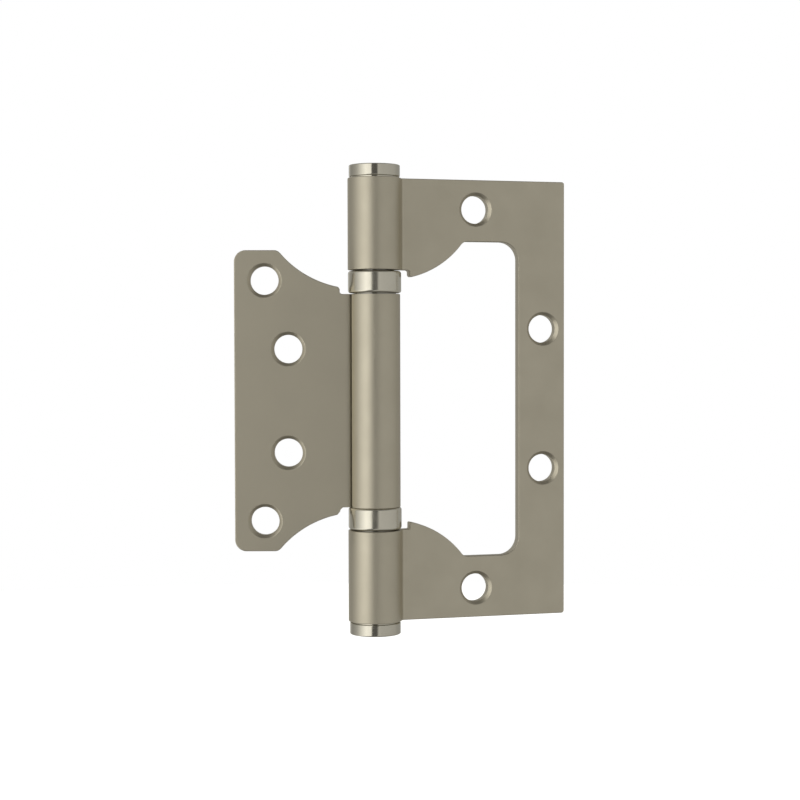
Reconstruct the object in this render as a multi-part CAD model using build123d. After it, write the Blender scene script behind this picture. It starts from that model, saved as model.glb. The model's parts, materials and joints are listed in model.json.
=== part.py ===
"""Surface mount hinge whose inner leaf nests in a window of the outer leaf, with two ball bearings.

The origin lies on the pin's axis, halfway up the outer leaf. +Z runs up the pin and +X runs along the
outer leaf, whose countersunk side faces -Y and whose mounting side faces +Y. Sizes are in millimetres
and angles in degrees.
"""

import os
from math import atan2, cos, sin, sqrt

from build123d import *

# Sheet and pin
sheet = 2.5
edge_r = 0.2
pin_d = 7.0
pin_clearance = 0.05
pin_end_gap = 0.3
pin_chamfer = 0.6

# Rolled knuckles
neck_bend_r = 1.0
roll_end_gap = 0.9
roll_end_round = 0.4
middle_knuckle_inset = 0.28
axial_play = 0.23

# Inner leaf, the tongue
tongue_reach = 31.6
tongue_height = 67.85
tongue_corner_r = 2.6
shoulder_r = 1.8
shoulder_curve_r = 23.1
shoulder_curve_x = 3.7
shoulder_curve_rise = 14.4
notch_clearance = 1.85
tooth_height = 1.64
upper_tooth_r = 0.55
lower_tooth_r = 0.3
upper_step_share = 0.45
lower_step_share = 0.4

# Outer leaf, the frame around the window
window_gap = 2.05
window_end_gap = 2.4
window_corner_r = 4.2
arm_width = 14.025
column_width = 11.2
outer_corner_r = 0.6

# Screw holes, each place measured from the leaf's own edges or from its middle
hole_d = 6.4
countersink_d = 8.2
arm_hole_x = 23.6
arm_hole_inset = 6.7
column_hole_inset = 5.3
column_hole_z = 16.1
tongue_corner_hole_inset = 6.8
tongue_middle_hole_inset = 12.1
tongue_middle_hole_z = 11.7

# End caps
cap_inset = 0.3
cap_height = 2.9
cap_edge = 0.25
cap_relief_height = 0.25
cap_relief_depth = 0.5
spigot_length = 5.0
spigot_chamfer = 0.5

# Ball bearings
bearing_height = 5.17
bearing_inset = 0.05
shell_wall = 0.35
shell_edge_r = 0.6
shell_foot_gap = 0.2
race_clearance = 0.05
race_step = 0.8
groove_depth = 0.25
ball_d = 1.5
ball_count = 12
ball_clearance = 0.05
cage_thickness = 0.6

# Pose: how far the inner leaf is swung open from where it nests in the window
swing_open = 195.6

# How near to a place a corner or an edge is looked for
near = 0.01

# Worked out from the sizes above
half_sheet = sheet / 2
pin_r = pin_d / 2
bore_r = pin_r + pin_clearance
knuckle_r = bore_r + sheet
tongue_half = tongue_height / 2
window_reach = tongue_reach + window_end_gap
window_half = tongue_half + window_gap
outer_reach = window_reach + column_width
leaf_half = window_half + arm_width
leaf_height = 2 * leaf_half
notch_x = knuckle_r + notch_clearance
shoulder_curve_z = tongue_half + shoulder_curve_rise
window_curve_r = shoulder_curve_r - window_gap

# Levels along the pin, from the bottom of the barrel to its top
tooth_tip_z = shoulder_curve_z - sqrt(window_curve_r**2 - (notch_x - shoulder_curve_x) ** 2)
knuckle_gap_half = tooth_tip_z + tooth_height
lower_bearing_z = -knuckle_gap_half + bearing_height / 2
upper_bearing_z = knuckle_gap_half - axial_play - bearing_height / 2
middle_bottom_z = lower_bearing_z + bearing_height / 2
middle_top_z = upper_bearing_z - bearing_height / 2
middle_z = (middle_bottom_z + middle_top_z) / 2
middle_half = (middle_top_z - middle_bottom_z) / 2

# Height of the tongue's steps beside the middle knuckle
step_height = shoulder_curve_z - sqrt(shoulder_curve_r**2 - (notch_x - shoulder_curve_x) ** 2) - middle_half

# Radii inside a bearing, from the pin outwards
bearing_r = knuckle_r - bearing_inset
shell_inner_r = bearing_r - shell_wall
race_inner_r = pin_r + 2 * race_clearance
race_outer_r = shell_inner_r - race_clearance
race_foot_r = race_outer_r - race_step
pitch_r = (race_inner_r + race_outer_r) / 2
ball_r = ball_d / 2
race_face_z = ball_r - groove_depth


def rolled_strip(reach, height, roll_r):
    """One leaf as a bent strip: a plate along +X that is rolled round the pin, its end on the +Y side."""
    neck_distance = roll_r + neck_bend_r
    neck_drop = half_sheet + neck_bend_r
    neck_x = sqrt(neck_distance**2 - neck_drop**2)
    back_bend_r = (neck_x**2 + half_sheet**2 - bore_r**2) / (2 * (bore_r + half_sheet))
    back_drop = back_bend_r - half_sheet
    back_angle = atan2(back_drop, neck_x)
    far = 2 * neck_distance
    roll = Circle(roll_r) - Circle(bore_r)
    mouth_top = half_sheet + roll_end_gap
    mouth = make_face(
        Polyline(
            (0, 0),
            (far * cos(back_angle), -far * sin(back_angle)),
            (far, mouth_top),
            (0, mouth_top),
            close=True,
        )
    )
    roll -= mouth
    roll_end_x = sqrt(roll_r**2 - mouth_top**2)
    roll_end = roll.vertices().sort_by_distance((roll_end_x, mouth_top, 0))[0]
    roll = fillet(roll_end, roll_end_round)
    neck = Pos(neck_x, -back_drop) * Circle(back_bend_r) - Pos(neck_x, -neck_drop) * Circle(neck_bend_r)
    neck_wedge = make_face(
        Polyline(
            (neck_x, -neck_drop),
            (neck_x, half_sheet + sheet),
            (0, half_sheet + sheet),
            (0, 0),
            close=True,
        )
    )
    neck = neck & neck_wedge
    plate = Pos((neck_x + reach) / 2, 0) * Rectangle(reach - neck_x, sheet)
    section = roll + neck + plate
    return extrude(section, height / 2, both=True)


def nesting_outline(reach, half_height, curve_r, barrel_half, corner_r):
    """The tongue's outline in x and z; with larger sizes it is the window that the tongue nests in."""
    body = Pos((notch_x + reach) / 2, 0) * Rectangle(reach - notch_x, 2 * half_height)
    for side in (-1, 1):
        body -= Pos(shoulder_curve_x, side * shoulder_curve_z) * Circle(curve_r)
    shoulder_x = shoulder_curve_x + sqrt(curve_r**2 - (shoulder_curve_z - half_height) ** 2)
    outer_corners = body.vertices().filter_by_position(Axis.X, reach - near, reach + near)
    body = fillet(outer_corners, corner_r)
    shoulders = body.vertices().filter_by_position(Axis.X, shoulder_x - near, shoulder_x + near)
    body = fillet(shoulders, shoulder_r)
    barrel_width = notch_x + 2 * knuckle_r
    barrel = Pos(notch_x - barrel_width / 2, 0) * Rectangle(barrel_width, 2 * barrel_half)
    return body + barrel


def step_corners(outline, side):
    """The two corners where an outline steps in beside the barrel; side is 1 at the top, -1 below."""
    corners = outline.vertices().filter_by_position(Axis.X, notch_x - near, notch_x + near)
    return corners.sort_by(Axis.Y)[-2:] if side > 0 else corners.sort_by(Axis.Y)[:2]


def through_sheet(outline):
    """A block that cuts or keeps an outline given in x and z, right through the leaf and its knuckles."""
    return extrude(Plane.XZ * outline, 2 * knuckle_r, both=True)


def round_edges(leaf):
    """Rounds the edges of the plate's two sides, and those of the knuckles' ends that run on from them."""
    edges = ShapeList()
    for side in leaf.faces().filter_by(Plane.XZ).sort_by(SortBy.AREA)[-2:]:
        start = side.bounding_box().min.X
        bend_lines = side.edges().filter_by(Axis.Z).filter_by_position(Axis.X, start - near, start + near)
        edges += side.edges() - bend_lines
    return fillet(edges, edge_r)


def screw_hole(x, z, head_side):
    """A countersunk hole through the plate; head_side is -1 or 1, the Y side that the screw's head is on."""
    rim_r = countersink_d / 2
    bore = Cylinder(hole_d / 2, 2 * sheet, rotation=(90, 0, 0))
    depth = rim_r - hole_d / 2
    sink = Cone(rim_r, hole_d / 2, depth, rotation=(90 * head_side, 0, 0))
    sink = Pos(0, head_side * (half_sheet - depth / 2), 0) * sink
    return Pos(x, 0, z) * (bore + sink)


def outer_leaf():
    """The leaf that frames the window, with a knuckle at each end of the barrel."""
    leaf = rolled_strip(outer_reach, leaf_height, knuckle_r)
    window = nesting_outline(window_reach, window_half, window_curve_r, knuckle_gap_half, window_corner_r)
    window = fillet(step_corners(window, 1), upper_tooth_r)
    window = fillet(step_corners(window, -1), lower_tooth_r)
    leaf -= through_sheet(window)
    corners = leaf.edges().filter_by(Axis.Y).group_by(Axis.X)[-1]
    leaf = fillet(corners, outer_corner_r)
    leaf = round_edges(leaf)
    for side in (-1, 1):
        leaf -= screw_hole(arm_hole_x, side * (leaf_half - arm_hole_inset), -1)
        leaf -= screw_hole(outer_reach - column_hole_inset, side * column_hole_z, -1)
    return leaf


def inner_leaf():
    """The tongue with the middle knuckle, made where it nests in the window and then swung open."""
    outline = nesting_outline(tongue_reach, tongue_half, shoulder_curve_r, middle_half, tongue_corner_r)
    outline = fillet(step_corners(outline, 1), upper_step_share * step_height)
    outline = chamfer(step_corners(outline, -1), lower_step_share * step_height)
    leaf = rolled_strip(tongue_reach, tongue_height, knuckle_r - middle_knuckle_inset)
    leaf &= through_sheet(outline)
    leaf = round_edges(leaf)
    for side in (-1, 1):
        corner_z = tongue_half - tongue_corner_hole_inset
        leaf -= screw_hole(tongue_reach - tongue_corner_hole_inset, side * corner_z, 1)
        leaf -= screw_hole(tongue_reach - tongue_middle_hole_inset, side * tongue_middle_hole_z, 1)
    return Rot(0, 0, -swing_open) * Pos(0, 0, middle_z) * leaf


def hinge_pin():
    """The loose pin between the two caps."""
    length = leaf_height - 2 * spigot_length - 2 * pin_end_gap
    pin = Cylinder(pin_r, length)
    return chamfer(pin.edges().filter_by(GeomType.CIRCLE), pin_chamfer)


def end_cap(side):
    """A turned disc with a relief under its rim and a spigot for the end knuckle; side is 1 at the top."""
    cap_r = knuckle_r - cap_inset
    profile = make_face(
        Polyline(
            (0, -spigot_length),
            (bore_r - spigot_chamfer, -spigot_length),
            (bore_r, -spigot_length + spigot_chamfer),
            (bore_r, 0),
            (cap_r - cap_relief_depth, 0),
            (cap_r - cap_relief_depth, cap_relief_height),
            (cap_r - cap_edge, cap_relief_height),
            (cap_r, cap_relief_height + cap_edge),
            (cap_r, cap_height - cap_edge),
            (cap_r - cap_edge, cap_height),
            (0, cap_height),
            close=True,
        )
    )
    cap = revolve(Plane.XZ * profile, Axis.Z)
    if side < 0:
        cap = Rot(180, 0, 0) * cap
    return Pos(0, 0, side * leaf_half) * cap


def bearing_shell(z):
    """The drawn ring that holds a bearing together, with a lip at each end."""
    top = bearing_height / 2
    foot = -top + shell_foot_gap
    lip_r = race_foot_r + race_clearance + shell_wall / 2
    wall = Pos((bearing_r + lip_r) / 2, (top + foot) / 2) * Rectangle(bearing_r - lip_r, top - foot)
    wall = fillet(wall.vertices().group_by(Axis.X)[-1], shell_edge_r)
    hollow_top = top - shell_wall
    hollow_foot = foot + shell_wall
    hollow_width = shell_inner_r - lip_r
    hollow = Pos(shell_inner_r - hollow_width / 2, (hollow_top + hollow_foot) / 2)
    wall -= hollow * Rectangle(hollow_width, hollow_top - hollow_foot)
    return Pos(0, 0, z) * revolve(Plane.XZ * wall, Axis.Z)


def race_groove():
    """The ring of round section that the balls run in, as a cutter."""
    return Torus(pitch_r, ball_r + ball_clearance)


def top_race(z):
    """The race under the shell's upper lip, with the ball groove in its lower face."""
    top = bearing_height / 2 - shell_wall
    height = top - race_face_z
    ring = Cylinder(race_outer_r, height) - Cylinder(race_inner_r, height)
    ring = Pos(0, 0, race_face_z + height / 2) * ring
    return Pos(0, 0, z) * (ring - race_groove())


def bottom_race(z):
    """The race whose foot stands through the shell's lower lip, with the ball groove in its upper face."""
    bottom = -bearing_height / 2
    rim_bottom = bottom + shell_foot_gap + shell_wall + race_clearance
    profile = make_face(
        Polyline(
            (race_inner_r, -race_face_z),
            (race_outer_r, -race_face_z),
            (race_outer_r, rim_bottom),
            (race_foot_r, rim_bottom),
            (race_foot_r, bottom),
            (race_inner_r, bottom),
            close=True,
        )
    )
    ring = revolve(Plane.XZ * profile, Axis.Z)
    return Pos(0, 0, z) * (ring - race_groove())


def ball_cage(z):
    """The pocketed ring that keeps the balls evenly apart."""
    ring = Cylinder(race_outer_r, cage_thickness) - Cylinder(race_inner_r, cage_thickness)
    ring -= PolarLocations(pitch_r, ball_count) * Cylinder(ball_r + ball_clearance, 2 * cage_thickness)
    return Pos(0, 0, z) * ring


def balls(z):
    """The loose balls of one bearing."""
    places = PolarLocations(pitch_r, ball_count)
    return Compound(children=[Pos(0, 0, z) * place * Sphere(ball_r) for place in places])


def hinge_parts():
    """Every piece of the hinge by its name."""
    parts = {
        "outer_leaf": outer_leaf(),
        "inner_leaf": inner_leaf(),
        "hinge_pin": hinge_pin(),
        "top_cap": end_cap(1),
        "bottom_cap": end_cap(-1),
    }
    for name, z in (("upper", upper_bearing_z), ("lower", lower_bearing_z)):
        parts[f"{name}_bearing_shell"] = bearing_shell(z)
        parts[f"{name}_bearing_top_race"] = top_race(z)
        parts[f"{name}_bearing_bottom_race"] = bottom_race(z)
        parts[f"{name}_bearing_cage"] = ball_cage(z)
        parts[f"{name}_bearing_balls"] = balls(z)
    return parts


os.makedirs("parts", exist_ok=True)
for name, shape in hinge_parts().items():
    export_step(shape, f"parts/{name}.step")
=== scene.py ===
"""Looks of a surface mount hinge: fine leaves, rings and caps, their finishes, the light and the camera.

The pieces are modelled in millimetres and brought to metres at the end, in the frame's own axes: the
origin lies on the pin's axis, +Z runs up the pin, and the outer leaf lies along +X with its countersunk
side towards -Y.
"""

import json
import logging
from collections.abc import Callable, Iterable
from dataclasses import dataclass, field, replace
from enum import Enum
from math import acos, asin, atan2, ceil, cos, degrees, hypot, pi, radians, sin, sqrt

import bmesh
import bpy
from mathutils import Matrix, Vector


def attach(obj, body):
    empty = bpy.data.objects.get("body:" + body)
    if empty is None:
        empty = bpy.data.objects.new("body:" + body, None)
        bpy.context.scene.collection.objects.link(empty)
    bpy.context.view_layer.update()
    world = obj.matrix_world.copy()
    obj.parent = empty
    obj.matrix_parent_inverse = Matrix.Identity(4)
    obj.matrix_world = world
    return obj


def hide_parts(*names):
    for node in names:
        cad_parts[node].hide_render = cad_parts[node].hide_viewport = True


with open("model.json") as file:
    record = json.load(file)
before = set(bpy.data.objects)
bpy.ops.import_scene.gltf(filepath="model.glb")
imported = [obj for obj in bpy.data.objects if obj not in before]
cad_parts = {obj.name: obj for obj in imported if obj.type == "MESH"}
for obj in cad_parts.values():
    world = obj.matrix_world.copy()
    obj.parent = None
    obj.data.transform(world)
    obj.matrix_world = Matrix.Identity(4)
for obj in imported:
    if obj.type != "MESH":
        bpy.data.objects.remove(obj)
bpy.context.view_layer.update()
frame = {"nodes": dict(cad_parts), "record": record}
log = logging.getLogger("hinge")

MM = 0.001

# How near points lie that become one, in millimetres: within a solid, in a sliver, and where pieces meet
MERGE_GAP = 1e-4
SLIVER = 1e-5
SEAM_GAP = 1e-3

# How far a point of a countersink's rim may lie off the sheet's side and off the rim's circle, in millimetres
OFF_SIDE = 0.01
OFF_CIRCLE = 0.02

# Angles in degrees: up to which a bend is shaded smooth, and past which an outline's edge is sharp
SMOOTH_ANGLE = 32
SHARP_ANGLE = 50

# Faces round a turned piece and round a screw hole, and across a rounded edge and a hole's rim
TURNED_FACES = 144
HOLE_FACES = 72
EDGE_FACES = 4
RIM_FACES = 2

# The part of a noise's range that its values mostly lie in
NOISE_LOW, NOISE_HIGH = 0.3, 0.7

Point = tuple[float, float]


class Turn(Enum):
    """The way that an arc goes round its centre, as the drawing's reader sees it."""

    LEFT = 1
    RIGHT = -1


class Side(Enum):
    """One of two opposite sides, as a sign along the axis it is measured on."""

    UPPER = 1
    LOWER = -1


class Body(Enum):
    """The frame's moving bodies that a visible piece can ride on."""

    OUTER = "outer"
    INNER = "inner"


class Corner(Enum):
    """How the two corners of a leaf's step beside its knuckle are made."""

    ROUND = "round"
    SLANT = "slant"


class Slot(Enum):
    """The record's material slots."""

    SATIN = "satin_nickel"
    POLISHED = "polished_nickel"
    GROUND = "ground_steel"
    BRASS = "cage_brass"


# Modelling by hand


@dataclass(frozen=True)
class Plane:
    """A drawing plane with its two directions; the normal is their cross product."""

    origin: Vector
    along: Vector
    up: Vector

    @property
    def normal(self) -> Vector:
        """The direction that the plane faces."""
        return self.along.cross(self.up)

    def place(self, point: Point) -> Vector:
        """Gives a drawn point's place in space."""
        return self.origin + self.along * point[0] + self.up * point[1]


class Pen:
    """Draws a chain of straight runs and arcs by pulling one corner point along, and makes a solid of it."""

    def __init__(self, name: str, plane: Plane, start: Point, chord_error: float = 0.002) -> None:
        """Starts a new piece as one corner point.

        Args:
            name: Name of the piece.
            plane: Plane to draw in.
            start: First point.
            chord_error: How far an arc's chords may lie inside it, in millimetres.
        """
        self.plane = plane
        self.at = start
        self.chord_error = chord_error
        deselect_objects()
        bpy.ops.mesh.primitive_plane_add(size=1.0)
        self.piece = bpy.context.active_object
        self.piece.name = self.piece.data.name = name
        bpy.ops.object.mode_set(mode="EDIT")
        bpy.ops.mesh.select_mode(type="VERT")
        bpy.ops.mesh.select_all(action="SELECT")
        bpy.ops.mesh.merge(type="CENTER")
        bpy.ops.transform.translate(value=plane.place(start))

    def run_to(self, end: Point) -> None:
        """Draws a straight run to a point."""
        step = self.plane.place(end) - self.plane.place(self.at)
        bpy.ops.mesh.extrude_region_move(TRANSFORM_OT_translate={"value": step})
        self.at = end

    def arc_to(self, centre: Point, end: Point, turn: Turn) -> None:
        """Draws an arc to a point.

        Args:
            centre: Centre of the arc.
            end: Last point of the arc.
            turn: The way round.
        """
        radius = hypot(self.at[0] - centre[0], self.at[1] - centre[1])
        first = atan2(self.at[1] - centre[1], self.at[0] - centre[0])
        last = atan2(end[1] - centre[1], end[0] - centre[0])
        sweep = (last - first) * turn.value % (2 * pi)
        finest = 2 * acos(1 - self.chord_error / radius)
        bpy.ops.mesh.spin(
            steps=ceil(sweep / finest),
            angle=-turn.value * sweep,
            center=self.plane.place(centre),
            axis=self.plane.normal,
        )
        self.at = end

    def pull(self, distance: Vector) -> bpy.types.Object:
        """Fills the outline and pulls the face to a solid.

        Args:
            distance: How far and which way the face is pulled.

        Returns:
            The finished solid.
        """
        bpy.ops.mesh.select_all(action="SELECT")
        bpy.ops.mesh.remove_doubles(threshold=MERGE_GAP)
        bpy.ops.mesh.edge_face_add()
        bpy.ops.mesh.extrude_region_move(TRANSFORM_OT_translate={"value": distance})
        return self.close_seams()

    def revolve(self, steps: int) -> bpy.types.Object:
        """Closes the outline and turns it once round the pin's axis.

        Args:
            steps: Number of faces round the axis.

        Returns:
            The finished solid.
        """
        bpy.ops.mesh.select_all(action="SELECT")
        bpy.ops.mesh.spin(steps=steps, angle=2 * pi, center=(0, 0, 0), axis=(0, 0, 1))
        return self.close_seams()

    def close_seams(self) -> bpy.types.Object:
        """Merges what meets, points the faces outwards and leaves edit mode."""
        bpy.ops.mesh.select_all(action="SELECT")
        bpy.ops.mesh.remove_doubles(threshold=MERGE_GAP)
        bpy.ops.mesh.dissolve_degenerate(threshold=SLIVER)
        bpy.ops.mesh.select_all(action="SELECT")
        bpy.ops.mesh.normals_make_consistent(inside=False)
        bpy.ops.object.mode_set(mode="OBJECT")
        return self.piece


def deselect_objects() -> None:
    """Leaves no object selected."""
    bpy.ops.object.select_all(action="DESELECT")


def make_active(piece: bpy.types.Object) -> None:
    """Selects one object alone and makes it the active one."""
    deselect_objects()
    piece.select_set(True)
    bpy.context.view_layer.objects.active = piece


def choose(piece: bpy.types.Object, kind: str, wanted: Callable) -> None:
    """Goes into edit mode with just some of a piece's faces or edges selected.

    Args:
        piece: The piece to edit.
        kind: "FACE" or "EDGE".
        wanted: Says of one face or edge whether it is selected.
    """
    make_active(piece)
    bpy.ops.object.mode_set(mode="EDIT")
    bpy.ops.mesh.select_mode(type=kind)
    bpy.ops.mesh.select_all(action="DESELECT")
    mesh = bmesh.from_edit_mesh(piece.data)
    found = [item for item in (mesh.faces if kind == "FACE" else mesh.edges) if wanted(item)]
    for item in found:
        item.select_set(True)
    bmesh.update_edit_mesh(piece.data)


def apply_modifier(piece: bpy.types.Object, kind: str, **settings: object) -> None:
    """Adds a modifier with its settings and applies it."""
    make_active(piece)
    bpy.ops.object.modifier_add(type=kind)
    modifier = piece.modifiers[-1]
    for key, value in settings.items():
        setattr(modifier, key, value)
    bpy.ops.object.modifier_apply(modifier=modifier.name)


def round_chosen_edges(width: float, segments: int) -> None:
    """Rounds the selected edges of the piece in edit mode and leaves edit mode."""
    bpy.ops.mesh.bevel(offset=width, segments=segments, profile=0.5, affect="EDGES", clamp_overlap=False)
    bpy.ops.object.mode_set(mode="OBJECT")


def smooth(piece: bpy.types.Object) -> None:
    """Shades rounded places smooth and keeps flat places flat up to their edges."""
    make_active(piece)
    bpy.ops.object.shade_smooth_by_angle(angle=radians(SMOOTH_ANGLE))
    apply_modifier(piece, "WEIGHTED_NORMAL", mode="FACE_AREA", weight=80, keep_sharp=True)


def bring_to_place(piece: bpy.types.Object, turn: float = 0.0, lift: float = 0.0) -> None:
    """Turns a piece about the pin's axis, lifts it and brings it from millimetres to metres.

    Args:
        piece: The piece, modelled in millimetres.
        turn: Angle in degrees by the right-hand rule about +Z.
        lift: Height in millimetres.
    """
    make_active(piece)
    bpy.ops.object.mode_set(mode="EDIT")
    bpy.ops.mesh.select_all(action="SELECT")
    if turn:
        bpy.ops.transform.rotate(value=-radians(turn), orient_axis="Z", center_override=(0, 0, 0))
    bpy.ops.transform.translate(value=(0, 0, lift))
    bpy.ops.transform.resize(value=(MM, MM, MM), center_override=(0, 0, 0))
    bpy.ops.object.mode_set(mode="OBJECT")


# Materials


def linear(colour: str) -> tuple[float, float, float, float]:
    """Turns an sRGB hex colour such as C9C0AE to linear red, green, blue and alpha."""
    parts = [int(colour[i:i + 2], 16) / 255 for i in (0, 2, 4)]
    return (*(c / 12.92 if c <= 0.04045 else ((c + 0.055) / 1.055) ** 2.4 for c in parts), 1.0)


def add_node(
    tree: bpy.types.NodeTree,
    kind: str,
    settings: dict[str | int, object] | None = None,
    links: dict[str | int, bpy.types.NodeSocket] | None = None,
) -> bpy.types.Node:
    """Adds a node with its settings and links.

    Args:
        tree: The node tree.
        kind: The node's type.
        settings: Values by the name or number of an input, or by the name of a property of the node.
        links: Output sockets by the name or number of the input that they go to.

    Returns:
        The new node.
    """
    node = tree.nodes.new(kind)
    for key, value in (settings or {}).items():
        if isinstance(key, int) or key in node.inputs:
            node.inputs[key].default_value = value
        else:
            setattr(node, key, value)
    for key, socket in (links or {}).items():
        tree.links.new(socket, node.inputs[key])
    return node


@dataclass(frozen=True)
class Finish:
    """A metal finish: a plated or ground metal with a fine grain and slow changes of gloss and tone.

    Attributes:
        name: The material's name.
        slot: The record's slot that it belongs to.
        colour: Colour of the metal's reflection, as sRGB hex.
        tone: A second colour that it drifts to in places.
        roughness: Middle roughness.
        roughness_drift: How far the roughness strays from the middle.
        drift_mm: Size of the places that differ.
        grain_mm: Size of the grain.
        grain_stretch: How many times longer the grain is than wide, up the piece.
        grain_depth_mm: Height of the grain.
    """

    name: str
    slot: Slot
    colour: str
    tone: str
    roughness: float
    roughness_drift: float
    drift_mm: float
    grain_mm: float
    grain_stretch: float
    grain_depth_mm: float

    def material(self) -> bpy.types.Material:
        """Makes the material.

        Returns:
            The node material, which reads the piece's own object coordinates.
        """
        material = bpy.data.materials.new(self.name)
        material.use_nodes = True
        tree = material.node_tree
        tree.nodes.clear()
        place = add_node(tree, "ShaderNodeTexCoord").outputs["Object"]
        drift = add_node(
            tree,
            "ShaderNodeTexNoise",
            {"Scale": 1 / (self.drift_mm * MM), "Detail": 3.0, "Roughness": 0.55},
            {"Vector": place},
        ).outputs["Fac"]
        stretched = add_node(
            tree, "ShaderNodeMapping", {"Scale": (1.0, 1.0, 1 / self.grain_stretch)}, {"Vector": place}
        ).outputs["Vector"]
        grain = add_node(
            tree,
            "ShaderNodeTexNoise",
            {"Scale": 1 / (self.grain_mm * MM), "Detail": 2.0, "Roughness": 0.6},
            {"Vector": stretched},
        ).outputs["Fac"]
        roughness = add_node(
            tree,
            "ShaderNodeMapRange",
            {
                "From Min": NOISE_LOW,
                "From Max": NOISE_HIGH,
                "To Min": self.roughness - self.roughness_drift,
                "To Max": self.roughness + self.roughness_drift,
            },
            {"Value": drift},
        ).outputs["Result"]
        mixed = add_node(
            tree,
            "ShaderNodeMix",
            {"data_type": "RGBA", 6: linear(self.colour), 7: linear(self.tone)},
            {"Factor": drift},
        ).outputs[2]
        relief = add_node(
            tree,
            "ShaderNodeBump",
            {"Strength": 1.0, "Distance": self.grain_depth_mm * MM},
            {"Height": grain},
        ).outputs["Normal"]
        shader = add_node(
            tree,
            "ShaderNodeBsdfPrincipled",
            {"Metallic": 1.0},
            {"Base Color": mixed, "Roughness": roughness, "Normal": relief},
        )
        add_node(tree, "ShaderNodeOutputMaterial", links={"Surface": shader.outputs["BSDF"]})
        return material


# Satin nickel plate on tumbled and brushed steel sheet: a warm grey with a soft, wide sheen and no sharp
# reflections
SATIN_NICKEL = Finish(
    name="satin_nickel_plate_brushed",
    slot=Slot.SATIN,
    colour="CBC5B5",
    tone="C4BEAE",
    roughness=0.45,
    roughness_drift=0.03,
    drift_mm=7.0,
    grain_mm=0.12,
    grain_stretch=4.0,
    grain_depth_mm=0.0012,
)

# Polished nickel plate on turned steel: mirror-like, so that it shows the studio as upright bands
POLISHED_NICKEL = Finish(
    name="polished_nickel_plate_turned",
    slot=Slot.POLISHED,
    colour="D0CDC2",
    tone="C9C5B9",
    roughness=0.13,
    roughness_drift=0.02,
    drift_mm=3.0,
    grain_mm=0.25,
    grain_stretch=1.0,
    grain_depth_mm=0.0003,
)

# Bright nickel plate on deep-drawn sheet: the drawing leaves the bands in it softer than in the turned caps
DRAWN_NICKEL = Finish(
    name="bright_nickel_plate_drawn",
    slot=Slot.POLISHED,
    colour="D8D5CA",
    tone="D1CDC1",
    roughness=0.21,
    roughness_drift=0.03,
    drift_mm=3.0,
    grain_mm=0.2,
    grain_stretch=2.0,
    grain_depth_mm=0.0004,
)

# Hardened and ground steel under a film of grease: grey and glossy, with fine turning marks
GROUND_STEEL = Finish(
    name="ground_steel_greased",
    slot=Slot.GROUND,
    colour="B4B3B0",
    tone="A09E98",
    roughness=0.2,
    roughness_drift=0.05,
    drift_mm=2.0,
    grain_mm=0.1,
    grain_stretch=0.3,
    grain_depth_mm=0.0008,
)

# Stamped brass sheet, left as rolled: yellow with a dull gloss
STAMPED_BRASS = Finish(
    name="stamped_brass",
    slot=Slot.BRASS,
    colour="D2B36C",
    tone="B8944E",
    roughness=0.3,
    roughness_drift=0.06,
    drift_mm=2.0,
    grain_mm=0.1,
    grain_stretch=1.0,
    grain_depth_mm=0.001,
)


def dress(piece: bpy.types.Object, material: bpy.types.Material) -> None:
    """Gives a whole piece one material."""
    piece.data.materials.clear()
    piece.data.materials.append(material)


def install(piece: bpy.types.Object, node: str, body: Body, material: bpy.types.Material) -> None:
    """Puts a finished piece in place of a node of the frame.

    Args:
        piece: The piece, in place and in metres.
        node: The node that it replaces.
        body: The body that it rides on.
        material: Its material.
    """
    smooth(piece)
    dress(piece, material)
    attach(piece, body.value)
    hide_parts(node)
    log.info("%s: %d faces in place of %s", piece.name, len(piece.data.polygons), node)


# Sub-assemblies


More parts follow.
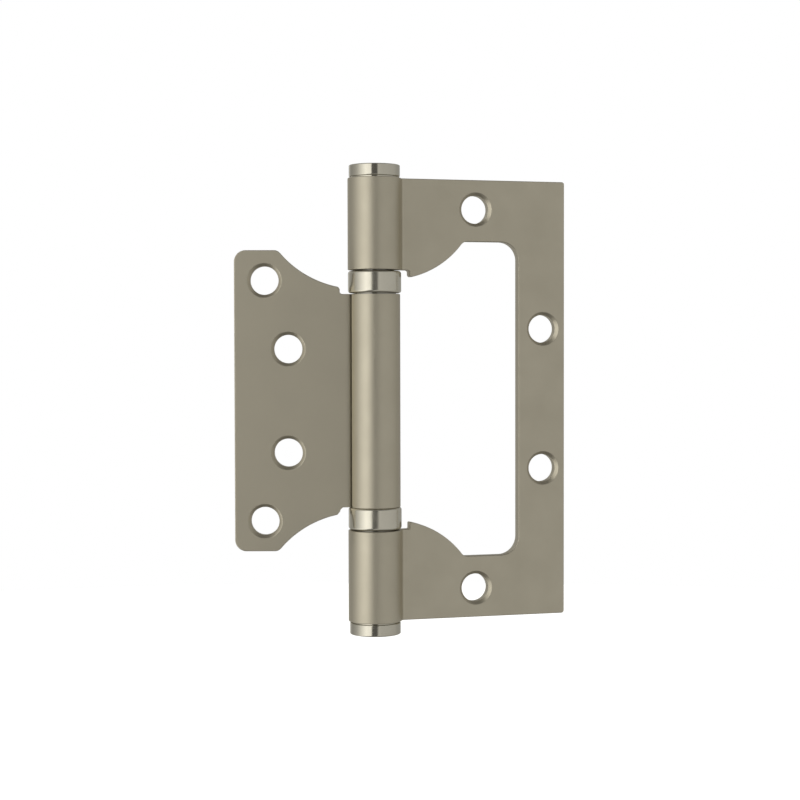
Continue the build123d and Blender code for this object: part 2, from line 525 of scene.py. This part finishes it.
@dataclass(frozen=True)
class RolledSheet:
    """The sheet that a leaf is stamped from, and how it is rolled round the pin. Sizes in millimetres."""

    sheet: float = 2.5
    bore_r: float = 3.55
    knuckle_inset: float = 0.0
    neck_bend_r: float = 1.0
    roll_end_gap: float = 0.9
    roll_end_round: float = 0.4
    edge_r: float = 0.2
    notch_clearance: float = 1.85
    shoulder_r: float = 1.8
    shoulder_x: float = 3.7

    @property
    def front(self) -> float:
        """Half the sheet's thickness, which is how far its sides lie from the pin's middle plane."""
        return self.sheet / 2

    @property
    def knuckle_r(self) -> float:
        """Outer radius of the knuckles."""
        return self.bore_r + self.sheet - self.knuckle_inset

    @property
    def notch_x(self) -> float:
        """Where the notch for the other leaf's knuckle ends."""
        return self.bore_r + self.sheet + self.notch_clearance

    @property
    def neck(self) -> Point:
        """Centre of the bend between the plate's front side and the knuckle."""
        distance = self.knuckle_r + self.neck_bend_r
        drop = self.front + self.neck_bend_r
        return sqrt(distance**2 - drop**2), -drop

    @property
    def back_bend(self) -> Point:
        """Centre of the bend between the plate's back side and the bore."""
        neck_x = self.neck[0]
        radius = (neck_x**2 + self.front**2 - self.bore_r**2) / (2 * (self.bore_r + self.front))
        return neck_x, self.front - radius

    def knuckle(self, name: str, low: float, high: float) -> bpy.types.Object:
        """Models one rolled knuckle with its neck, up to where the plate starts.

        Args:
            name: Name of the piece.
            low: Height of its lower end.
            high: Height of its upper end.

        Returns:
            The solid.
        """
        neck_x, neck_y = self.neck
        centre = (0.0, 0.0)
        mouth = self.front + self.roll_end_gap
        lip_y = mouth + self.roll_end_round
        lip_x = sqrt((self.knuckle_r - self.roll_end_round) ** 2 - lip_y**2)
        lip_start = self.knuckle_r / (self.knuckle_r - self.roll_end_round)
        section = Plane(Vector((0, 0, low)), Vector((1, 0, 0)), Vector((0, 1, 0)))
        pen = Pen(name, section, (neck_x, -self.front))
        pen.arc_to((neck_x, neck_y), towards(centre, self.neck, self.knuckle_r), Turn.LEFT)
        pen.arc_to(centre, (lip_x * lip_start, lip_y * lip_start), Turn.RIGHT)
        pen.arc_to((lip_x, lip_y), (lip_x, mouth), Turn.RIGHT)
        pen.run_to((sqrt(self.bore_r**2 - mouth**2), mouth))
        pen.arc_to(centre, towards(centre, self.back_bend, self.bore_r), Turn.LEFT)
        pen.arc_to(self.back_bend, (neck_x, self.front), Turn.RIGHT)
        return pen.pull(Vector((0, 0, high - low)))


@dataclass(frozen=True)
class ScrewHole:
    """A countersunk screw hole. Sizes in millimetres."""

    x: float
    z: float
    hole_r: float = 3.2
    rim_r: float = 3.9
    rim_round: float = 0.07

    def cutter(self, front: float, head_side: int) -> bpy.types.Object:
        """Models the shape of the hole and its countersink.

        Args:
            front: Half the sheet's thickness.
            head_side: 1 or -1, the Y side that the screw's head lies on.

        Returns:
            The cutter, which reaches past the sheet on both sides.
        """
        deselect_objects()
        depth = self.rim_r - self.hole_r
        past = 1.0
        length = 2 * front - depth + past
        middle = -head_side * (depth + past) / 2
        bpy.ops.mesh.primitive_cylinder_add(
            vertices=HOLE_FACES,
            radius=self.hole_r,
            depth=length,
            location=(self.x, middle, self.z),
            rotation=(pi / 2, 0, 0),
        )
        cutter = bpy.context.active_object
        bpy.ops.object.transform_apply(location=True, rotation=True, scale=True)
        choose(cutter, "FACE", lambda face: face.normal.y * head_side > 0.9)
        widened = (self.rim_r + past) / self.hole_r
        bpy.ops.mesh.extrude_region_move(TRANSFORM_OT_translate={"value": (0, head_side * (depth + past), 0)})
        bpy.ops.transform.resize(value=(widened, 1, widened), center_override=(self.x, 0, self.z))
        bpy.ops.object.mode_set(mode="OBJECT")
        return cutter

    def has_rim(self, edge: bmesh.types.BMEdge, front: float, head_side: int) -> bool:
        """Says whether an edge lies on the countersink's rim."""
        return all(
            abs(v.co.y - head_side * front) < OFF_SIDE
            and abs(hypot(v.co.x - self.x, v.co.z - self.z) - self.rim_r) < OFF_CIRCLE
            for v in edge.verts
        )


@dataclass(frozen=True)
class Step:
    """The two corners of a leaf's step beside its knuckle.

    Attributes:
        corner: How the corners are made.
        size: Radius or width of the corners, in millimetres.
    """

    corner: Corner
    size: float


@dataclass
class Leaf:
    """What both leaves share: each half is modelled from the middle up, and the lower one turned over.

    Attributes:
        node: The node that it replaces.
        body: The body that it rides on.
        head_side: 1 or -1, the Y side of the screw heads while the leaf lies along +X.
        holes: The screw holes of the upper half, which the lower half has too. Sizes in millimetres.
        steps: The steps beside the knuckle in the upper and in the lower half.
        stock: The sheet and its roll.
    """

    node: str
    body: Body
    head_side: int
    holes: tuple[ScrewHole, ...]
    steps: tuple[Step, Step]
    stock: RolledSheet = field(default_factory=RolledSheet)

    def front_plane(self) -> Plane:
        """The plate's front side as a drawing plane, seen from the front."""
        return Plane(Vector((0, -self.stock.front, 0)), Vector((1, 0, 0)), Vector((0, 0, 1)))

    def join_knuckle(self, plate: bpy.types.Object, knuckle: bpy.types.Object) -> None:
        """Joins a knuckle to the plate and takes out the two faces where they meet.

        Args:
            plate: Half of the plate.
            knuckle: The knuckle, which becomes part of the plate's mesh.
        """
        neck_x = self.stock.neck[0]
        make_active(plate)
        knuckle.select_set(True)
        bpy.ops.object.join()
        choose(plate, "FACE", lambda face: all(abs(v.co.x - neck_x) < SEAM_GAP for v in face.verts))
        bpy.ops.mesh.delete(type="ONLY_FACE")
        bpy.ops.mesh.select_all(action="SELECT")
        bpy.ops.mesh.remove_doubles(threshold=SEAM_GAP)
        bpy.ops.mesh.normals_make_consistent(inside=False)
        bpy.ops.object.mode_set(mode="OBJECT")

    def round_outline(self, plate: bpy.types.Object) -> None:
        """Rounds the edges of both sides, on round the ends of the knuckle."""
        neck_x = self.stock.neck[0]

        def is_outline(edge: bmesh.types.BMEdge) -> bool:
            """Says whether an edge is a sharp one of the outline."""
            first, last = (v.co for v in edge.verts)
            in_middle = abs(first.z) < SEAM_GAP and abs(last.z) < SEAM_GAP
            along_roll = first.x < neck_x - SEAM_GAP and (first.xy - last.xy).length < SEAM_GAP
            return edge.calc_face_angle(0.0) > radians(SHARP_ANGLE) and not in_middle and not along_roll

        choose(plate, "EDGE", is_outline)
        round_chosen_edges(self.stock.edge_r, EDGE_FACES)

    def drill(self, plate: bpy.types.Object) -> None:
        """Cuts the countersunk holes and breaks their rims."""
        for hole in self.holes:
            cutter = hole.cutter(self.stock.front, self.head_side)
            apply_modifier(plate, "BOOLEAN", operation="DIFFERENCE", solver="EXACT", object=cutter)
            bpy.data.objects.remove(cutter)
            choose(plate, "EDGE", lambda edge: hole.has_rim(edge, self.stock.front, self.head_side))
            round_chosen_edges(hole.rim_round, RIM_FACES)

    def open_middle(self, plate: bpy.types.Object) -> None:
        """Takes the faces away at which the two halves meet."""
        choose(plate, "FACE", lambda face: all(abs(v.co.z) < SEAM_GAP for v in face.verts))
        bpy.ops.mesh.delete(type="FACE")
        bpy.ops.object.mode_set(mode="OBJECT")

    def half(self, step: Step) -> bpy.types.Object:
        """Models the upper half with one of the steps.

        Args:
            step: The step beside the knuckle.

        Returns:
            The half, open at the middle.
        """
        raise NotImplementedError

    def finish_half(self, plate: bpy.types.Object, knuckle: bpy.types.Object) -> bpy.types.Object:
        """Takes half a plate and its knuckle through all the steps up to an open half leaf."""
        self.join_knuckle(plate, knuckle)
        self.round_outline(plate)
        self.drill(plate)
        self.open_middle(plate)
        return plate

    def whole(self) -> bpy.types.Object:
        """Models both halves, turns the lower one over and joins them.

        Returns:
            The leaf, lying along +X.
        """
        upper, lower = (self.half(step) for step in self.steps)
        make_active(lower)
        bpy.ops.object.mode_set(mode="EDIT")
        bpy.ops.mesh.select_all(action="SELECT")
        bpy.ops.transform.resize(value=(1, 1, -1), center_override=(0, 0, 0))
        bpy.ops.object.mode_set(mode="OBJECT")
        make_active(upper)
        lower.select_set(True)
        bpy.ops.object.join()
        bpy.ops.object.mode_set(mode="EDIT")
        bpy.ops.mesh.select_all(action="SELECT")
        bpy.ops.mesh.remove_doubles(threshold=SEAM_GAP)
        bpy.ops.mesh.normals_make_consistent(inside=False)
        bpy.ops.object.mode_set(mode="OBJECT")
        return upper


def draw_nesting_edge(
    pen: Pen,
    stock: RolledSheet,
    step: Step,
    half_height: float,
    curve: Point,
    curve_r: float,
    barrel_half: float,
) -> None:
    """Draws the nesting edge's shoulder, curve and step, from the straight top edge down to the neck.

    Args:
        pen: The pen, on the straight top edge.
        stock: The sheet, with the sizes that both leaves share.
        step: The step beside the knuckle.
        half_height: Height of the straight top edge.
        curve: Centre of the shoulder's curve.
        curve_r: Radius of the shoulder's curve.
        barrel_half: Height where the knuckle ends.
    """
    x, z = curve
    notch_x = stock.notch_x
    shoulder = stock.shoulder_r
    size = step.size
    tip_z = z - sqrt(curve_r**2 - (notch_x - x) ** 2)
    goes_up = 1 if barrel_half > tip_z else -1
    top = (x + sqrt((curve_r + shoulder) ** 2 - (z - half_height + shoulder) ** 2), half_height - shoulder)
    pen.run_to((top[0], half_height))
    pen.arc_to(top, towards(top, curve, shoulder), Turn.LEFT)
    if step.corner is Corner.ROUND:
        tip_x = notch_x + size
        tip = (tip_x, z - sqrt((curve_r - goes_up * size) ** 2 - (tip_x - x) ** 2))
        pen.arc_to(curve, towards(curve, tip, curve_r), Turn.RIGHT)
        pen.arc_to(tip, (notch_x, tip[1]), Turn.RIGHT if goes_up > 0 else Turn.LEFT)
    else:
        slope = asin((notch_x - x) / curve_r) + size / curve_r
        pen.arc_to(curve, (x + curve_r * sin(slope), z - curve_r * cos(slope)), Turn.RIGHT)
        pen.run_to((notch_x, tip_z + goes_up * size))
    pen.run_to((notch_x, barrel_half - goes_up * size))
    if step.corner is Corner.ROUND:
        root = (notch_x - size, barrel_half - goes_up * size)
        pen.arc_to(root, (root[0], barrel_half), Turn.LEFT if goes_up > 0 else Turn.RIGHT)
    else:
        pen.run_to((notch_x - size, barrel_half))
    pen.run_to((stock.neck[0], barrel_half))


def towards(start: Point, target: Point, distance: float) -> Point:
    """Gives the point at a distance from a start on the line to a target."""
    share = distance / hypot(target[0] - start[0], target[1] - start[1])
    return start[0] + (target[0] - start[0]) * share, start[1] + (target[1] - start[1]) * share


@dataclass
class Hinge:
    """The hinge's sizes that the leaves, the rings and the caps share, in millimetres.

    Attributes:
        tongue_reach: From the pin's axis to the inner leaf's far edge.
        tongue_half: Half the inner leaf's height.
        shoulder_curve_r: Radius of the inner leaf's shoulder curve.
        shoulder_rise: How far the curve's centre lies above the inner leaf's top edge.
        window_gap: Gap round the nested inner leaf.
        window_end_gap: Gap past its far edge.
        arm_width: Width of the outer leaf's arms.
        column_width: Width of the outer leaf's column.
        tooth_height: How far the outer leaf's teeth reach past the ends of its knuckles.
        bearing_height: Height of a bearing.
        axial_play: Free gap above the upper bearing.
        upper_step_share: Rounding of the inner leaf's upper step, as a share of the step's height.
        lower_step_share: Slant of its lower step, as a share of the step's height.
        middle_knuckle_inset: How much smaller the middle knuckle's radius is than that of the others.
        swing_open: How far the inner leaf is swung open from where it nests, in degrees.
        stock: The sheet that both leaves are made of.
    """

    tongue_reach: float = 31.6
    tongue_half: float = 33.925
    shoulder_curve_r: float = 23.1
    shoulder_rise: float = 14.4
    window_gap: float = 2.05
    window_end_gap: float = 2.4
    arm_width: float = 14.025
    column_width: float = 11.2
    tooth_height: float = 1.64
    bearing_height: float = 5.17
    axial_play: float = 0.23
    upper_step_share: float = 0.45
    lower_step_share: float = 0.4
    middle_knuckle_inset: float = 0.28
    swing_open: float = 195.6
    stock: RolledSheet = field(default_factory=RolledSheet)

    @property
    def curve(self) -> Point:
        """Centre of the shoulder curves of tongue and window."""
        return self.stock.shoulder_x, self.tongue_half + self.shoulder_rise

    @property
    def window_curve_r(self) -> float:
        """Radius of the window's shoulder curve."""
        return self.shoulder_curve_r - self.window_gap

    @property
    def window_reach(self) -> float:
        """From the pin's axis to the window's far edge."""
        return self.tongue_reach + self.window_end_gap

    @property
    def window_half(self) -> float:
        """Half the window's height."""
        return self.tongue_half + self.window_gap

    @property
    def outer_reach(self) -> float:
        """From the pin's axis to the outer leaf's far edge."""
        return self.window_reach + self.column_width

    @property
    def leaf_half(self) -> float:
        """Half the outer leaf's height."""
        return self.window_half + self.arm_width

    @property
    def knuckle_gap_half(self) -> float:
        """Half the gap between the two end knuckles."""
        x, z = self.curve
        return z - sqrt(self.window_curve_r**2 - (self.stock.notch_x - x) ** 2) + self.tooth_height

    @property
    def middle_half(self) -> float:
        """Half the middle knuckle's height."""
        return self.knuckle_gap_half - self.bearing_height - self.axial_play / 2

    @property
    def step_height(self) -> float:
        """Height of the inner leaf's steps beside its knuckle."""
        x, z = self.curve
        return z - sqrt(self.shoulder_curve_r**2 - (self.stock.notch_x - x) ** 2) - self.middle_half

    @property
    def middle_z(self) -> float:
        """Height of the inner leaf's middle, which sits lower by half the play."""
        return -self.axial_play / 2

    def bearing_z(self, side: Side) -> float:
        """Height of a bearing's middle."""
        play = self.axial_play if side is Side.UPPER else 0.0
        return side.value * (self.knuckle_gap_half - play - self.bearing_height / 2)


@dataclass
class OuterLeaf(Leaf):
    """The leaf that frames the window, with a knuckle at each end of the barrel. Sizes in millimetres."""

    hinge: Hinge = field(default_factory=Hinge)
    corner_r: float = 0.6
    window_corner_r: float = 4.2

    def half(self, step: Step) -> bpy.types.Object:
        """Models the upper half with one of the steps, open at the middle."""
        hinge = self.hinge
        far, top = hinge.outer_reach, hinge.leaf_half
        window_far, window_top = hinge.window_reach, hinge.window_half
        neck_x = self.stock.neck[0]
        pen = Pen("outer_leaf_plate", self.front_plane(), (neck_x, top))
        pen.run_to((far - self.corner_r, top))
        pen.arc_to((far - self.corner_r, top - self.corner_r), (far, top - self.corner_r), Turn.RIGHT)
        pen.run_to((far, 0))
        pen.run_to((window_far, 0))
        inset = self.window_corner_r
        pen.run_to((window_far, window_top - inset))
        pen.arc_to((window_far - inset, window_top - inset), (window_far - inset, window_top), Turn.LEFT)
        draw_nesting_edge(
            pen, self.stock, step, window_top, hinge.curve, hinge.window_curve_r, hinge.knuckle_gap_half
        )
        plate = pen.pull(Vector((0, self.stock.sheet, 0)))
        knuckle = self.stock.knuckle("outer_leaf_knuckle", hinge.knuckle_gap_half, top)
        return self.finish_half(plate, knuckle)

    def model(self) -> bpy.types.Object:
        """Models the leaf in place.

        Returns:
            The leaf, in metres.
        """
        leaf = self.whole()
        bring_to_place(leaf)
        return leaf


@dataclass
class InnerLeaf(Leaf):
    """The tongue with the middle knuckle, modelled nested and then swung open. Sizes in millimetres."""

    hinge: Hinge = field(default_factory=Hinge)
    corner_r: float = 2.6

    def half(self, step: Step) -> bpy.types.Object:
        """Models the upper half with one of the steps, open at the middle."""
        hinge = self.hinge
        far, top = hinge.tongue_reach, hinge.tongue_half
        pen = Pen("inner_leaf_plate", self.front_plane(), (self.stock.neck[0], 0))
        pen.run_to((far, 0))
        pen.run_to((far, top - self.corner_r))
        pen.arc_to((far - self.corner_r, top - self.corner_r), (far - self.corner_r, top), Turn.LEFT)
        draw_nesting_edge(pen, self.stock, step, top, hinge.curve, hinge.shoulder_curve_r, hinge.middle_half)
        plate = pen.pull(Vector((0, self.stock.sheet, 0)))
        knuckle = self.stock.knuckle("inner_leaf_knuckle", 0, hinge.middle_half)
        return self.finish_half(plate, knuckle)

    def model(self) -> bpy.types.Object:
        """Models the leaf in place, swung open.

        Returns:
            The leaf, in metres.
        """
        leaf = self.whole()
        bring_to_place(leaf, turn=-self.hinge.swing_open, lift=self.hinge.middle_z)
        return leaf


@dataclass
class BearingShell:
    """The drawn ring that holds a bearing together, with a lip at each end. Sizes in millimetres."""

    hinge: Hinge
    side: Side
    inset: float = 0.05
    wall: float = 0.35
    edge_r: float = 0.6
    foot_gap: float = 0.2
    lip_r: float = 4.975
    inner_edge_r: float = 0.25

    @property
    def node(self) -> str:
        """The node that it replaces."""
        return f"{self.side.name.lower()}_bearing_shell"

    def model(self) -> bpy.types.Object:
        """Models the ring in place.

        Returns:
            The ring, in metres.
        """
        outer = self.hinge.stock.knuckle_r - self.inset
        top = self.hinge.bearing_height / 2
        foot = self.foot_gap - top
        edge, bend = self.edge_r, self.inner_edge_r
        hollow_r = outer - self.wall
        hollow_top, hollow_foot = top - self.wall, foot + self.wall
        middle = Vector((0, 0, self.hinge.bearing_z(self.side)))
        half_plane = Plane(middle, Vector((1, 0, 0)), Vector((0, 0, 1)))
        pen = Pen(f"{self.node}_drawn", half_plane, (self.lip_r, top))
        pen.run_to((outer - edge, top))
        pen.arc_to((outer - edge, top - edge), (outer, top - edge), Turn.RIGHT)
        pen.run_to((outer, foot + edge))
        pen.arc_to((outer - edge, foot + edge), (outer - edge, foot), Turn.RIGHT)
        pen.run_to((self.lip_r, foot))
        pen.run_to((self.lip_r, hollow_foot))
        pen.run_to((hollow_r - bend, hollow_foot))
        pen.arc_to((hollow_r - bend, hollow_foot + bend), (hollow_r, hollow_foot + bend), Turn.LEFT)
        pen.run_to((hollow_r, hollow_top - bend))
        pen.arc_to((hollow_r - bend, hollow_top - bend), (hollow_r - bend, hollow_top), Turn.LEFT)
        pen.run_to((self.lip_r, hollow_top))
        pen.run_to((self.lip_r, top))
        ring = pen.revolve(TURNED_FACES)
        bring_to_place(ring)
        return ring


@dataclass
class EndCap:
    """The turned disc on an end of the barrel, with its spigot in the knuckle. Sizes in millimetres."""

    hinge: Hinge
    side: Side
    inset: float = 0.3
    height: float = 2.9
    edge_r: float = 0.25
    relief_height: float = 0.25
    relief_depth: float = 0.5
    spigot: float = 5.0
    spigot_chamfer: float = 0.5

    @property
    def node(self) -> str:
        """The node that it replaces."""
        return "top_cap" if self.side is Side.UPPER else "bottom_cap"

    def model(self) -> bpy.types.Object:
        """Models the cap in place.

        Returns:
            The cap, in metres.
        """
        stock = self.hinge.stock
        rim = stock.knuckle_r - self.inset
        edge = self.edge_r
        upright = Vector((0, 0, self.side.value))
        half_plane = Plane(upright * self.hinge.leaf_half, Vector((1, 0, 0)), upright)
        pen = Pen(f"{self.node}_turned", half_plane, (0, -self.spigot))
        pen.run_to((stock.bore_r - self.spigot_chamfer, -self.spigot))
        pen.run_to((stock.bore_r, self.spigot_chamfer - self.spigot))
        pen.run_to((stock.bore_r, 0))
        pen.run_to((rim - self.relief_depth, 0))
        pen.run_to((rim - self.relief_depth, self.relief_height))
        pen.run_to((rim - edge, self.relief_height))
        pen.arc_to((rim - edge, self.relief_height + edge), (rim, self.relief_height + edge), Turn.LEFT)
        pen.run_to((rim, self.height - edge))
        pen.arc_to((rim - edge, self.height - edge), (rim - edge, self.height), Turn.LEFT)
        pen.run_to((0, self.height))
        cap = pen.revolve(TURNED_FACES)
        bring_to_place(cap)
        return cap


# Studio


@dataclass(frozen=True)
class PhotoCamera:
    """The camera at the photograph's viewing angle, fitted to the leaves' corners, the holes and the barrel.

    Attributes:
        turn: How far the view is turned from +Y towards +X, in degrees.
        dip: How far the view looks down, in degrees.
        roll: Roll of the camera in degrees.
        distance: From the camera to the point it looks at, in millimetres.
        target: That point, in millimetres.
        lens: Focal length in millimetres.
        sensor: Width of the sensor in millimetres.
        clip: The nearest and the farthest that it shows, in metres.
    """

    turn: float = 16.065
    dip: float = 1.758
    roll: float = -0.123
    distance: float = 413.632
    target: tuple[float, float, float] = (5.912, 0.0, -0.028)
    lens: float = 82.05
    sensor: float = 36.0
    clip: tuple[float, float] = (0.01, 10.0)

    def direction(self) -> Vector:
        """The direction that the camera looks in."""
        turn, dip = radians(self.turn), radians(self.dip)
        return Vector((sin(turn) * cos(dip), cos(turn) * cos(dip), -sin(dip)))

    def place(self) -> None:
        """Makes the camera and sets it as the scene's."""
        turn, roll = radians(self.turn), radians(self.roll)
        forward = self.direction()
        level = Vector((cos(turn), -sin(turn), 0.0))
        upright = level.cross(forward)
        right = level * cos(roll) + upright * sin(roll)
        up = upright * cos(roll) - level * sin(roll)
        data = bpy.data.cameras.new("photo_camera")
        data.lens = self.lens
        data.sensor_width = self.sensor
        data.clip_start, data.clip_end = self.clip
        camera = bpy.data.objects.new("photo_camera", data)
        bpy.context.scene.collection.objects.link(camera)
        turned = Matrix((right, up, -forward)).transposed().to_4x4()
        place = (Vector(self.target) - forward * self.distance) * MM
        camera.matrix_world = Matrix.Translation(place) @ turned
        bpy.context.scene.camera = camera


@dataclass(frozen=True)
class Studio:
    """A plain soft studio: a tall light on the left, a dark gap at the camera, dim fills right and behind.

    Attributes:
        camera: The camera that the walls' angles are counted from.
        walls: Angles to the right of the camera, in degrees, with the walls' brightness there.
        lean: How far the walls' pattern leans over to the left low down, as a tangent.
        lean_start: How far down it starts to lean, as a share of the distance.
        warmth: Colour of the light, as sRGB hex.
        ceiling: Brightness overhead and below.
        ceiling_slope: Sine of the slope where the walls start to pass into it, and where it is reached.
        table_z: Height of the light table, in millimetres.
        table_r: Its radius, in millimetres.
        table_thickness: Its thickness, in millimetres.
        table_glow: How brightly it shines.
    """

    camera: PhotoCamera
    walls: tuple[Point, ...] = (
        (-180, 0.36),
        (-166, 0.38),
        (-153, 0.72),
        (-139, 0.38),
        (-121, 0.35),
        (-97, 0.46),
        (-82, 0.6),
        (-65, 0.93),
        (-50, 1.22),
        (-38, 1.45),
        (-22, 1.32),
        (-13.5, 1.3),
        (-11, 0.11),
        (0, 0.13),
        (14, 0.1),
        (16.5, 0.62),
        (22, 0.62),
        (32, 0.56),
        (60, 0.54),
        (100, 0.5),
        (125, 0.4),
        (150, 0.38),
    )
    lean: float = 1.0
    lean_start: float = 0.1
    warmth: str = "FFFDF6"
    ceiling: float = 0.15
    ceiling_slope: tuple[float, float] = (0.55, 0.85)
    table_z: float = -160.0
    table_r: float = 900.0
    table_thickness: float = 10.0
    table_glow: float = 0.9

    def build_world(self) -> None:
        """Makes the studio's walls and ceiling as the world, white where the camera looks past the object."""
        world = bpy.data.worlds.new("studio")
        bpy.context.scene.world = world
        world.use_nodes = True
        tree = world.node_tree
        tree.nodes.clear()
        facing = degrees(atan2(-self.camera.direction().y, -self.camera.direction().x))
        direction = add_node(tree, "ShaderNodeTexCoord").outputs["Generated"]
        turned = add_node(
            tree,
            "ShaderNodeVectorRotate",
            {"rotation_type": "Z_AXIS", "Angle": -radians(facing)},
            {"Vector": direction},
        ).outputs["Vector"]
        parts = add_node(tree, "ShaderNodeSeparateXYZ", links={"Vector": turned}).outputs
        angle = add_node(tree, "ShaderNodeMath", {"operation": "ARCTAN2"}, {0: parts["Y"], 1: parts["X"]})
        lowered = add_node(tree, "ShaderNodeMath", {"operation": "ADD", 1: self.lean_start}, {0: parts["Z"]})
        below = add_node(tree, "ShaderNodeMath", {"operation": "MINIMUM", 1: 0.0}, {0: lowered.outputs[0]})
        leaning = add_node(
            tree,
            "ShaderNodeMath",
            {"operation": "MULTIPLY_ADD", 1: -self.lean},
            {0: below.outputs[0], 2: angle.outputs[0]},
        )
        share = add_node(
            tree,
            "ShaderNodeMapRange",
            {"From Min": -pi, "From Max": pi, "To Min": 0.0, "To Max": 1.0},
            {"Value": leaning.outputs[0]},
        ).outputs["Result"]
        walls = add_node(tree, "ShaderNodeValToRGB", links={"Fac": share})
        self.paint_walls(walls.color_ramp)
        steepness = add_node(tree, "ShaderNodeMath", {"operation": "ABSOLUTE"}, {0: parts["Z"]})
        start, end = self.ceiling_slope
        height = add_node(
            tree,
            "ShaderNodeMapRange",
            {"interpolation_type": "SMOOTHSTEP", "From Min": start, "From Max": end},
            {"Value": steepness.outputs[0]},
        ).outputs["Result"]
        brightness = add_node(
            tree,
            "ShaderNodeMix",
            {"data_type": "RGBA", 7: (self.ceiling, self.ceiling, self.ceiling, 1.0)},
            {"Factor": height, 6: walls.outputs["Color"]},
        ).outputs[2]
        tinted = add_node(
            tree,
            "ShaderNodeMix",
            {"data_type": "RGBA", "blend_type": "MULTIPLY", "Factor": 1.0, 7: linear(self.warmth)},
            {6: brightness},
        ).outputs[2]
        light = add_node(tree, "ShaderNodeBackground", links={"Color": tinted})
        white = add_node(tree, "ShaderNodeBackground", {"Color": (1.0, 1.0, 1.0, 1.0)})
        path = add_node(tree, "ShaderNodeLightPath")
        seen = add_node(
            tree,
            "ShaderNodeMixShader",
            links={0: path.outputs["Is Camera Ray"], 1: light.outputs[0], 2: white.outputs[0]},
        )
        add_node(tree, "ShaderNodeOutputWorld", links={"Surface": seen.outputs[0]})

    def paint_walls(self, ramp: bpy.types.ColorRamp) -> None:
        """Sets a colour ramp's stops to the walls' brightness, which ends on the first at half a turn."""
        stops = ramp.elements
        while len(stops) > 1:
            stops.remove(stops[-1])
        stops[0].position = 0.0
        for number, (angle, brightness) in enumerate(self.walls):
            stop = stops.new((angle + 180) / 360) if number else stops[0]
            stop.color = (brightness, brightness, brightness, 1.0)

    def build_table(self) -> None:
        """Makes the pale light table under the object."""
        deselect_objects()
        bpy.ops.mesh.primitive_cylinder_add(
            vertices=128,
            radius=self.table_r * MM,
            depth=self.table_thickness * MM,
            location=(0, 0, (self.table_z - self.table_thickness / 2) * MM),
        )
        table = bpy.context.active_object
        table.name = table.data.name = "light_table"
        material = bpy.data.materials.new("opal_acrylic_table")
        material.use_nodes = True
        shader = material.node_tree.nodes["Principled BSDF"]
        shader.inputs["Base Color"].default_value = linear("F4F3F0")
        shader.inputs["Roughness"].default_value = 0.6
        shader.inputs["Emission Color"].default_value = (1.0, 1.0, 1.0, 1.0)
        shader.inputs["Emission Strength"].default_value = self.table_glow
        dress(table, material)
        table.visible_glossy = False


def set_view() -> None:
    """Shows colours as they are, without a film curve."""
    bpy.context.scene.view_settings.view_transform = "Standard"
    bpy.context.scene.view_settings.look = "None"


def main() -> None:
    """Builds the hinge's pieces in order, dresses the rest, and sets the studio and the camera."""
    logging.basicConfig(level=logging.INFO, format="%(name)s %(message)s")
    hinge = Hinge()
    finishes = (SATIN_NICKEL, POLISHED_NICKEL, GROUND_STEEL, STAMPED_BRASS)
    materials = {finish.slot: finish.material() for finish in finishes}
    for part in frame["record"]["subparts"]:
        dress(frame["nodes"][part["node"]], materials[Slot(part["material_slot"])])
    outer = OuterLeaf(
        node="outer_leaf",
        body=Body.OUTER,
        head_side=-1,
        holes=(ScrewHole(23.6, 43.3), ScrewHole(39.9, 16.1)),
        steps=(Step(Corner.ROUND, 0.55), Step(Corner.ROUND, 0.3)),
        stock=hinge.stock,
        hinge=hinge,
    )
    inner = InnerLeaf(
        node="inner_leaf",
        body=Body.INNER,
        head_side=1,
        holes=(ScrewHole(24.8, 27.125), ScrewHole(19.5, 11.7)),
        steps=(
            Step(Corner.ROUND, hinge.upper_step_share * hinge.step_height),
            Step(Corner.SLANT, hinge.lower_step_share * hinge.step_height),
        ),
        stock=replace(hinge.stock, knuckle_inset=hinge.middle_knuckle_inset),
        hinge=hinge,
    )
    for leaf in (outer, inner):
        install(leaf.model(), leaf.node, leaf.body, materials[Slot.SATIN])
    drawn = DRAWN_NICKEL.material()
    for side, body in ((Side.UPPER, Body.OUTER), (Side.LOWER, Body.INNER)):
        shell = BearingShell(hinge, side)
        install(shell.model(), shell.node, body, drawn)
        cap = EndCap(hinge, side)
        install(cap.model(), cap.node, Body.OUTER, materials[Slot.POLISHED])
    camera = PhotoCamera()
    camera.place()
    studio = Studio(camera)
    studio.build_world()
    studio.build_table()
    set_view()


if __name__ == "__main__":
    main()
